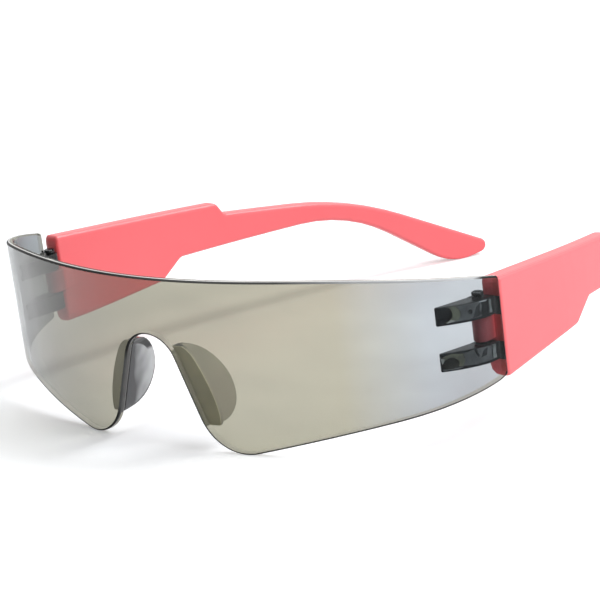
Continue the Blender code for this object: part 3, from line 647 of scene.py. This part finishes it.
def wrap_sheet(bm, reach):
    """Split flat geometry along the shield's rulings, wrap it round the shield and tilt it."""
    for u in sorted({side * r for r in RULINGS[:-1] for side in (1, -1)}):
        if reach[0] < u < reach[1]:
            everything = bm.verts[:] + bm.edges[:] + bm.faces[:]
            bmesh.ops.bisect_plane(
                bm, geom=everything, dist=SPLIT_TOLERANCE, plane_co=(u, 0, 0), plane_no=(1, 0, 0))
    for vert in bm.verts:
        x, y = wrapped(vert.co.x, vert.co.y)
        vert.co = (x, y, vert.co.z)
    bmesh.ops.transform(bm, matrix=Matrix.Rotation(REST_TILT, 4, "X"), verts=bm.verts)
    bmesh.ops.recalc_face_normals(bm, faces=bm.faces)


def rider(name, bm, mats):
    """Turn geometry into a piece that stays with the shield."""
    mesh = bpy.data.meshes.new(name)
    bm.to_mesh(mesh)
    bm.free()
    for mat in mats:
        mesh.materials.append(mat)
    obj = bpy.data.objects.new(name, mesh)
    bpy.context.scene.collection.objects.link(obj)
    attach(obj, "root")
    return obj


def edge_kind(level, first, second):
    """Material of one strip of the shield's edge, between two points of its outline."""
    if level < ROUNDING_SEGMENTS:
        return DARK_RIM
    u = (first[0] + second[0]) / 2
    v = (first[1] + second[1]) / 2
    if abs(u) == HALF_ARC and any(base < v < base + LUG_HEIGHT for base in LUG_BASES.values()):
        return WALL_BY_LUG
    first_strip = level == ROUNDING_SEGMENTS
    if abs(u) < NOSE_LOBE_OFFSET and PAD_BOTTOM < v < PAD_TOP - WALL_BY_PAD_TRIM:
        return STRIP_BY_PAD if first_strip else WALL_BY_PAD
    # No painted highlight strip on the lower left or on the ends
    lower_left = u < -FRONT_ARC and v < TOP_END_HEIGHT - 1.5 * END_CORNER_RADIUS
    quiet = lower_left or abs(u) == HALF_ARC
    return PAINTED_HIGHLIGHT_STRIP if first_strip and not quiet else CLEAR_WALL


def build_lens(mats):
    """The shield in one piece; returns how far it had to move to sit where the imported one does."""
    right = half_outline()
    outline = right + [(-u, v) for u, v in reversed(right[1:-1])]
    bm = bmesh.new()
    rings = []
    for layer, depth in rounded_layers(outline):
        rings.append([bm.verts.new((u, depth, v)) for u, v in layer])
    count = len(outline)
    for level, (lower, upper) in enumerate(zip(rings[:-1], rings[1:])):
        for i in range(count):
            j = (i + 1) % count
            made = bm.faces.new((lower[i], lower[j], upper[j], upper[i]))
            made.material_index = edge_kind(level, outline[i], outline[j])
    bm.faces.new(rings[0]).material_index = FRONT_FACE
    bm.faces.new(rings[-1]).material_index = BACK_FACE
    wrap_sheet(bm, (-HALF_ARC, HALF_ARC))
    low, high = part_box("lens_shield")
    ours_low = Vector([min(v.co[i] for v in bm.verts) for i in range(3)])
    ours_high = Vector([max(v.co[i] for v in bm.verts) for i in range(3)])
    shift = ((low + high) - (ours_low + ours_high)) / 2
    bmesh.ops.translate(bm, vec=shift, verts=bm.verts)
    for face in bm.faces:
        face.smooth = True
    for edge in bm.edges:
        kinds = {face.material_index for face in edge.link_faces}
        edge.smooth = len(kinds) == 1
    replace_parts(rider("shield_lens", bm, mats), "lens_shield")
    return shift


# Glue films

def lug_rise(u):
    """How far the lug's sloping front stands above its level rear at arc length u."""
    front = wrapped(LUG_TIP_ARC, THICKNESS)[1]
    start = wrapped(HALF_ARC, 0)[1] + LUG_OVERHANG - 2 * KNUCKLE_RADIUS
    return LUG_RISE * max(start - wrapped(u, THICKNESS)[1], 0) / (start - front)


def build_film(name, outline, mat, shift, near=GLUE_NEAR, far=GLUE_FAR):
    """A thin slab behind the shield, drawn on the unrolled sheet."""
    bm = bmesh.new()
    rings = [[bm.verts.new((u, depth, v)) for u, v in outline] for depth in (near, far)]
    count = len(outline)
    for i in range(count):
        j = (i + 1) % count
        bm.faces.new((rings[0][i], rings[0][j], rings[1][j], rings[1][i]))
    bm.faces.new(rings[0])
    bm.faces.new(rings[1])
    wrap_sheet(bm, (min(u for u, v in outline), max(u for u, v in outline)))
    bmesh.ops.translate(bm, vec=shift, verts=bm.verts)
    film = rider(name, bm, [mat])
    film.data.shade_smooth()
    film.data.set_sharp_from_angle(angle=SHARP_ANGLE)


def curve_through(points, steps=8):
    """Smooth line through points: a cubic between each two, its slopes taken from their neighbours."""
    line = []
    for i in range(len(points) - 1):
        a, b = points[max(i - 1, 0)], points[i]
        c, d = points[i + 1], points[min(i + 2, len(points) - 1)]
        for step in range(steps):
            t = step / steps
            line.append(tuple(
                0.5 * (2 * b[k] + (c[k] - a[k]) * t + (2 * a[k] - 5 * b[k] + 4 * c[k] - d[k]) * t ** 2
                       + (3 * b[k] - a[k] - 3 * c[k] + d[k]) * t ** 3) for k in (0, 1)))
    return line + [points[-1]]


# Glue shapes on a right-hand lug: mm along the lug from its tip, and mm above its lower edge
# Among the films, the pale strip at the knuckle end is a painted highlight
UPPER_FILMS = {
    "olive": curve_through([(2.1, 0.7), (3.6, 1.4), (4.1, 2.3), (3.9, 3.3), (3.3, 4.1)])
    + curve_through([(5.0, 4.1), (5.9, 3.1), (6.1, 2.0), (5.4, 1.1), (4.2, 0.7)]),
    "grey": curve_through([(4.3, 0.7), (5.5, 1.1), (6.2, 2.0), (6.0, 3.1), (5.1, 4.1)])
    + [(12.0, 4.1), (12.2, 3.0), (11.8, 1.6), (12.0, 0.7)],
    "highlight_bead": [(14.45, 0.9), (14.6, 4.0), (15.3, 3.9), (15.2, 2.4), (15.4, 0.9)],
}
# Marks in front of the films: a real bubble, painted shade, and small painted highlights
UPPER_MARKS = {
    "bubble": arc_points((8.8, 2.3), 0.55, 0, 2 * math.pi, 16)[:-1],
    "shade": [(9.4, 0.8), (10.4, 3.0), (11.7, 3.9), (11.4, 2.2), (11.9, 1.4), (11.0, 0.9)],
    "glint": [(11.4, 4.0), (13.6, 3.85), (13.9, 4.12), (11.6, 4.18)],
    "glint_wedge": [(2.2, 0.55), (3.6, 1.25), (4.7, 1.0), (4.3, 0.75), (3.0, 0.62)],
    "spark_a": arc_points((8.1, 0.75), 0.17, 0, 2 * math.pi, 8)[:-1],
    "spark_b": arc_points((9.0, 1.0), 0.14, 0, 2 * math.pi, 8)[:-1],
    "spark_c": arc_points((8.75, 3.0), 0.13, 0, 2 * math.pi, 8)[:-1],
}
# Among the films, the pale strip at the knuckle end is a painted highlight
LOWER_FILMS = {
    "olive": [(0.3, 3.2), (0.6, 2.2)]
    + curve_through([(0.9, 2.6), (2.4, 3.2), (3.9, 2.7), (4.5, 1.9), (4.3, 1.0)])
    + [(5.4, 0.9), (6.0, 2.2), (5.6, 3.7), (3.0, 4.0), (1.2, 3.7)],
    "grey": [(5.5, 0.9), (6.1, 2.2), (5.7, 3.7), (8.6, 4.05), (9.0, 3.2), (9.8, 2.1), (10.1, 2.5),
             (9.6, 3.3), (9.5, 4.1), (13.9, 4.0), (13.7, 2.4), (13.9, 0.8), (9.0, 0.7)],
    "highlight_bead": [(14.0, 0.9), (14.2, 4.1), (15.4, 4.0), (15.2, 2.4), (15.3, 0.9)],
}
# Marks on the lower lug: painted shade in the recess and beside it, and small painted highlights
LOWER_MARKS = {
    "pocket_shade": [(0.6, 0.9)] + curve_through([(0.7, 1.8), (1.6, 2.8), (2.9, 2.9), (4.1, 2.2), (4.3, 1.0)])
    + [(2.4, 0.6)],
    "shade": [(10.4, 2.0), (11.4, 3.6), (12.6, 3.9), (12.2, 2.3)],
    "glint_wedge": [(0.05, 3.25), (1.0, 3.05), (0.6, 2.3), (0.25, 1.8)],
    "spark_a": [(0.3, 0.78), (2.4, 0.62), (5.2, 0.8), (5.2, 0.62), (2.4, 0.45), (0.3, 0.55)],
}


def glue_lug(level, side, shift, mats):
    """Glue films between a lug and the shield, with bubbles, painted highlights and painted shade in front
    of them, and a pale painted highlight among the films.
    """
    films, marks = (UPPER_FILMS, UPPER_MARKS) if level == "upper" else (LOWER_FILMS, LOWER_MARKS)
    place = f"{level}_{SIDES[side]}"
    for shapes, near, far in ((films, GLUE_NEAR, GLUE_FAR), (marks, MARK_NEAR, MARK_FAR)):
        for kind, shape in shapes.items():
            outline = []
            for along, up in shape:
                u = LUG_TIP_ARC + along * MM
                outline.append((side * u, LUG_BASES[level] + up * MM + lug_rise(u)))
            build_film(f"glue_{kind}_{place}", outline, mats[kind], shift, near, far)


def notch_edge(height):
    """Distance of the notch's edge from the centre line at a height."""
    lobe, arch, lobe_tangent, arch_tangent = notch_geometry()
    if height < lobe_tangent.y:
        return lobe.x - math.sqrt(NOSE_LOBE_RADIUS ** 2 - (height - lobe.y) ** 2)
    if height > arch_tangent.y:
        return math.sqrt(max(NOTCH_ARCH_RADIUS ** 2 - (height - arch.y) ** 2, 0))
    share = (height - lobe_tangent.y) / (arch_tangent.y - lobe_tangent.y)
    return lobe_tangent.x + (arch_tangent.x - lobe_tangent.x) * share


def glue_pad(side, shift, mat):
    """Glue under the pad's crescent flange, almost out to the notch's edge."""
    inner = []
    outer = []
    inset = PAD_GLUE_INSETS[side]
    for height in np.linspace(PAD_BOTTOM + GLUE_FOOT_TRIM, PAD_TOP - GLUE_HEAD_TRIM, PAD_GLUE_STEPS):
        span = PAD_TOP - PAD_PEAK if height > PAD_PEAK else PAD_PEAK - PAD_BOTTOM
        share = math.sqrt(max(1 - (abs(height - PAD_PEAK) / span) ** 2, 0))
        edge = notch_edge(height)
        width = PAD_FLANGE_END_WIDTH + (PAD_FLANGE_WIDTH - PAD_FLANGE_END_WIDTH) * share
        inner.append((side * (edge + inset), height))
        outer.append((side * (edge + width + GLUE_BEYOND_FLANGE), height))
    build_film(f"glue_pad_{SIDES[side]}", inner + outer[::-1], mat, shift)


def dress(node, mat):
    """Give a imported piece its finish, with sharp edges where its faces meet steeply."""
    obj = NODES[node]
    obj.data.materials.clear()
    obj.data.materials.append(mat)
    obj.data.shade_smooth()
    obj.data.set_sharp_from_angle(angle=SHARP_ANGLE)


# Floor, lamps and camera

FLOOR_SIZE = 12.0
FLOOR_GLOW = 0.45
GLOW_THROUGH_LENS = 0.45
REFLECTED_GLOW = 0.6
REFLECTION_FADE = (0.05, -0.15)

# The floor glows less round the left nose lobe, where the shadow is deepest, and fully behind the shield
SHADOW_GLOW = 0.18
SHADOW_CENTRE = (-20 * MM, -88 * MM, 0.0)
SHADOW_REACH = (12 * MM, 52 * MM)
GLOW_BEHIND_REACH = (-78 * MM, -50 * MM)


def build_floor():
    """White floor that glows to the eye, through the shield and, towards the left, in reflections."""
    mesh = bpy.data.meshes.new("floor")
    half = FLOOR_SIZE / 2
    corners = [(-half, -half, 0), (half, -half, 0), (half, half, 0), (-half, half, 0)]
    mesh.from_pydata(corners, [], [(0, 1, 2, 3)])
    floor = bpy.data.objects.new("floor", mesh)
    bpy.context.scene.collection.objects.link(floor)
    s = Shader("white_floor")
    s.set("Base Color", rgb(0.785, 0.80, 0.82))
    s.set("Roughness", 0.9)
    s.set("Specular IOR Level", 0.0)
    path = s.node("ShaderNodeLightPath")
    place = s.axes()
    away = s.vector_maths("DISTANCE", s.place(), SHADOW_CENTRE)
    glow_far = s.remap(away, SHADOW_GLOW, FLOOR_GLOW, *SHADOW_REACH)
    glow_behind = s.remap(place["Y"], 0.0, FLOOR_GLOW, *GLOW_BEHIND_REACH)
    seen = s.maths("MULTIPLY", path.outputs["Is Camera Ray"], s.maths("MAXIMUM", glow_far, glow_behind))
    through = s.maths("MULTIPLY", path.outputs["Is Transmission Ray"], GLOW_THROUGH_LENS)
    seen = s.maths("ADD", seen, through)
    leftward = s.remap(place["X"], 0.0, REFLECTED_GLOW, *REFLECTION_FADE)
    mirrored = s.maths("SUBTRACT", path.outputs["Is Glossy Ray"], path.outputs["Is Transmission Ray"])
    reflected = s.maths("MULTIPLY", s.maths("MAXIMUM", mirrored, 0.0), leftward)
    glow = s.node("ShaderNodeEmission", Color=rgb(1, 1, 1))
    s.tree.links.new(s.maths("ADD", seen, reflected), glow.inputs["Strength"])
    add = s.tree.nodes.new("ShaderNodeAddShader")
    s.tree.links.new(s.bsdf.outputs["BSDF"], add.inputs[0])
    s.tree.links.new(glow.outputs["Emission"], add.inputs[1])
    s.tree.links.new(add.outputs["Shader"], s.output.inputs["Surface"])
    mesh.materials.append(s.mat)


AMBIENT_LOW = 0.03
AMBIENT_HIGH = 0.42
AMBIENT_BRIGHT_SIDE = (0.0, 0.5, 0.8)


def build_world():
    """White where it is seen; as a light, brighter from above and behind than from the front."""
    world = bpy.data.worlds.new("studio")
    bpy.context.scene.world = world
    world.use_nodes = True
    n = Nodes(world.node_tree)
    path = n.node("ShaderNodeLightPath").outputs
    seen = n.maths("MAXIMUM", path["Is Camera Ray"], path["Is Glossy Ray"])
    seen = n.maths("MAXIMUM", seen, path["Is Transmission Ray"])
    direction = n.node("ShaderNodeTexCoord").outputs["Generated"]
    toward = n.vector_maths("DOT_PRODUCT", direction, AMBIENT_BRIGHT_SIDE)
    ambient = n.remap(toward, AMBIENT_LOW, AMBIENT_HIGH, -1.0, 1.0)
    background = n.tree.nodes["Background"]
    n.put(background, "Strength", n.remap(seen, ambient, 1.0))
    n.put(background, "Color", rgb(1, 1, 1))


def add_lamp(name, location, target, size, power):
    """Square lamp that points at a target."""
    data = bpy.data.lights.new(name, "AREA")
    data.shape = "SQUARE"
    data.size = size
    data.energy = power
    lamp = bpy.data.objects.new(name, data)
    bpy.context.scene.collection.objects.link(lamp)
    lamp.location = location
    lamp.rotation_euler = (Vector(target) - Vector(location)).to_track_quat("-Z", "Y").to_euler()


def add_sun(name, toward, angle, strength):
    """Even light from far away; toward points at the lamp."""
    data = bpy.data.lights.new(name, "SUN")
    data.angle = angle
    data.energy = strength
    lamp = bpy.data.objects.new(name, data)
    bpy.context.scene.collection.objects.link(lamp)
    lamp.rotation_euler = Vector(toward).to_track_quat("Z", "Y").to_euler()


CAMERA_PLACE = Vector((0.3465, -0.4412, 0.1529))
CAMERA_YAW = 0.7092
CAMERA_PITCH = 0.2427
CAMERA_ROLL = -0.096
CAMERA_LENS = 134.06
SENSOR_WIDTH = 36.0
CLIP_START = 0.01
CLIP_END = 50.0


def build_camera():
    """The photograph's view: yaw from +Y, pitch downwards and roll about the line of sight."""
    forward = Vector((-math.sin(CAMERA_YAW) * math.cos(CAMERA_PITCH),
                      math.cos(CAMERA_YAW) * math.cos(CAMERA_PITCH),
                      -math.sin(CAMERA_PITCH)))
    level = Vector((math.cos(CAMERA_YAW), math.sin(CAMERA_YAW), 0))
    upright = level.cross(forward)
    right = level * math.cos(CAMERA_ROLL) + upright * math.sin(CAMERA_ROLL)
    up = -level * math.sin(CAMERA_ROLL) + upright * math.cos(CAMERA_ROLL)
    data = bpy.data.cameras.new("camera")
    data.lens = CAMERA_LENS
    data.sensor_width = SENSOR_WIDTH
    data.sensor_fit = "HORIZONTAL"
    data.clip_start = CLIP_START
    data.clip_end = CLIP_END
    camera = bpy.data.objects.new("camera", data)
    bpy.context.scene.collection.objects.link(camera)
    turned = Matrix((right, up, -forward)).transposed().to_4x4()
    camera.matrix_world = Matrix.Translation(CAMERA_PLACE) @ turned
    bpy.context.scene.camera = camera


def main():
    """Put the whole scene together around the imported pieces."""
    bpy.context.scene.view_settings.view_transform = "Standard"
    shift = build_lens(lens_materials())
    glue = lug_glue_materials()
    pad_glue = pad_glue_materials()
    for side in SIDES:
        glue_lug("upper", side, shift, glue)
        glue_lug("lower", side, shift, glue)
        glue_pad(side, shift, pad_glue[side])
    coral = coral_material()
    smoke = smoke_material()
    dark = lug_material()
    steel = steel_material()
    for side in SIDES.values():
        dress(f"temple_{side}", coral)
        dress(f"nose_pad_{side}", smoke)
        dress(f"lug_upper_{side}", dark)
        dress(f"lug_lower_{side}", dark)
        dress(f"hinge_screw_{side}", steel)
    build_floor()
    build_world()
    add_sun("behind", toward=(0.35, 0.55, 0.9), angle=math.radians(22), strength=1.3)
    add_sun("overhead", toward=(0.25, 0.0, 1.0), angle=math.radians(18), strength=0.5)
    add_lamp("side", location=(0.40, 0.02, 0.30), target=(0.07, -0.02, 0.02), size=0.25, power=1.5)
    build_camera()


main()
